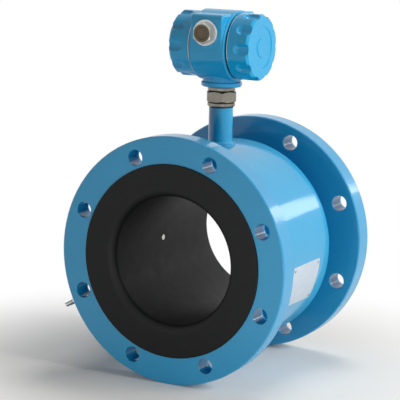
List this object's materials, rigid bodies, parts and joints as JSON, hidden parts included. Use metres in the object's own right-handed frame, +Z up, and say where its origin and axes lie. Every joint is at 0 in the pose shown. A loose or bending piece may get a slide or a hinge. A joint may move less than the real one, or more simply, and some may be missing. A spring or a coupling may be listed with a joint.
{
  "type": "electromagnetic flow meter",
  "caption": "Flanged pipeline flow meter: rubber lined bore through a blue coil casing, with a swivelling transmitter head on a stem.",
  "frame": {"origin": "centre of the inlet flange's face, on the pipe axis", "axes": "+Y along the pipe with the flow, +Z up through the stem, +X to the right of the flow"},
  "size_m": [0.3453, 0.28, 0.5004],
  "materials": {
    "flange_paint": "gloss blue enamel on steel",
    "casing_paint": "gloss light blue enamel on steel",
    "tube_paint": "gloss blue enamel on stainless steel",
    "head_enamel": "blue powder coat on die-cast aluminium",
    "cover_enamel": "blue powder coat on die-cast aluminium",
    "liner_rubber": "smooth black neoprene",
    "seal_rubber": "black nitrile",
    "stainless": "plain stainless steel",
    "zinc_steel": "zinc plated steel",
    "core_iron": "dark electrical steel",
    "copper_winding": "lacquered copper wire",
    "ptfe": "white fluoropolymer",
    "plate_aluminium": "satin white anodised aluminium",
    "union_nickel": "nickel plated brass",
    "plug_bronze": "dark bronzed brass",
    "board_laminate": "green glass laminate",
    "terminal_plastic": "black moulded polyamide",
    "brass_pillar": "turned brass"
  },
  "bodies": {
    "meter_body": {"inlet_flange": "flange_paint", "outlet_flange": "flange_paint", "measuring_tube": "tube_paint", "flange_welds": "flange_paint", "rubber_liner": "liner_rubber", "earth_stud": "stainless", "earth_washers": "stainless", "earth_nut": "stainless", "coil_casing": "casing_paint", "casing_inlet_end": "casing_paint", "casing_outlet_end": "casing_paint", "upper_coil": "copper_winding", "lower_coil": "copper_winding", "upper_pole_core": "core_iron", "lower_pole_core": "core_iron", "return_yoke": "core_iron", "core_screws": "zinc_steel", "right_electrode": "stainless", "left_electrode": "stainless", "electrode_bosses": "stainless", "electrode_bushes": "ptfe", "electrode_springs": "stainless", "electrode_nuts": "stainless", "nameplate": "plate_aluminium", "plate_rivets": "plate_aluminium", "stem_pipe": "casing_paint", "stem_gasket": "seal_rubber", "union_tail": "union_nickel", "union_gasket": "seal_rubber", "union_nut": "union_nickel"},
    "head": {"swivel_sleeve": "union_nickel", "lock_ring": "union_nickel", "head_housing": "head_enamel", "bulkhead_grommet": "seal_rubber", "terminal_board": "board_laminate", "terminal_strip": "terminal_plastic", "terminal_screws": "zinc_steel", "power_board": "board_laminate", "signal_board": "board_laminate", "board_pillars": "brass_pillar", "board_screws": "zinc_steel", "inner_earth_screw": "brass_pillar"},
    "right_cover": {"right_cover": "cover_enamel"},
    "left_cover": {"left_cover": "cover_enamel"},
    "right_cover_seal": {"right_cover_seal": "seal_rubber"},
    "left_cover_seal": {"left_cover_seal": "seal_rubber"},
    "inlet_side_plug": {"inlet_side_plug": "plug_bronze"},
    "outlet_side_plug": {"outlet_side_plug": "plug_bronze"},
    "inlet_side_plug_ring": {"inlet_side_plug_ring": "union_nickel"},
    "outlet_side_plug_ring": {"outlet_side_plug_ring": "union_nickel"}
  },
  "joints": [
    {"name": "head_swivel", "type": "hinge", "parent": "meter_body", "child": "head", "pos_m": [0, 0.138, 0.2], "axis": [0, 0, 1], "range_deg": [-175, 175]},
    {"name": "right_cover_travel", "type": "slide", "parent": "head", "child": "right_cover_seal", "axis": [1, 0, 0], "range_m": [0, 0.00901]},
    {"name": "right_cover_turn", "type": "hinge", "parent": "right_cover_seal", "child": "right_cover", "pos_m": [0.04, 0.138, 0.2814], "axis": [1, 0, 0], "range_deg": [0, 2160]},
    {"name": "left_cover_travel", "type": "slide", "parent": "head", "child": "left_cover_seal", "axis": [-1, 0, 0], "range_m": [0, 0.00901]},
    {"name": "left_cover_turn", "type": "hinge", "parent": "left_cover_seal", "child": "left_cover", "pos_m": [-0.04, 0.138, 0.2814], "axis": [-1, 0, 0], "range_deg": [0, 2160]},
    {"name": "inlet_side_plug_travel", "type": "slide", "parent": "head", "child": "inlet_side_plug_ring", "axis": [0, -1, 0], "range_m": [0, 0.00901]},
    {"name": "inlet_side_plug_turn", "type": "hinge", "parent": "inlet_side_plug_ring", "child": "inlet_side_plug", "pos_m": [0, 0.088, 0.3014], "axis": [0, -1, 0], "range_deg": [0, 2160]},
    {"name": "outlet_side_plug_travel", "type": "slide", "parent": "head", "child": "outlet_side_plug_ring", "axis": [0, 1, 0], "range_m": [0, 0.00901]},
    {"name": "outlet_side_plug_turn", "type": "hinge", "parent": "outlet_side_plug_ring", "child": "outlet_side_plug", "pos_m": [0, 0.188, 0.3014], "axis": [0, 1, 0], "range_deg": [0, 2160]}
  ],
  "couplings": [
    {"joint": "right_cover_travel", "follows": "right_cover_turn", "m_per_rad": 0.00023873},
    {"joint": "left_cover_travel", "follows": "left_cover_turn", "m_per_rad": 0.00023873},
    {"joint": "inlet_side_plug_travel", "follows": "inlet_side_plug_turn", "m_per_rad": 0.00023873},
    {"joint": "outlet_side_plug_travel", "follows": "outlet_side_plug_turn", "m_per_rad": 0.00023873}
  ]
}
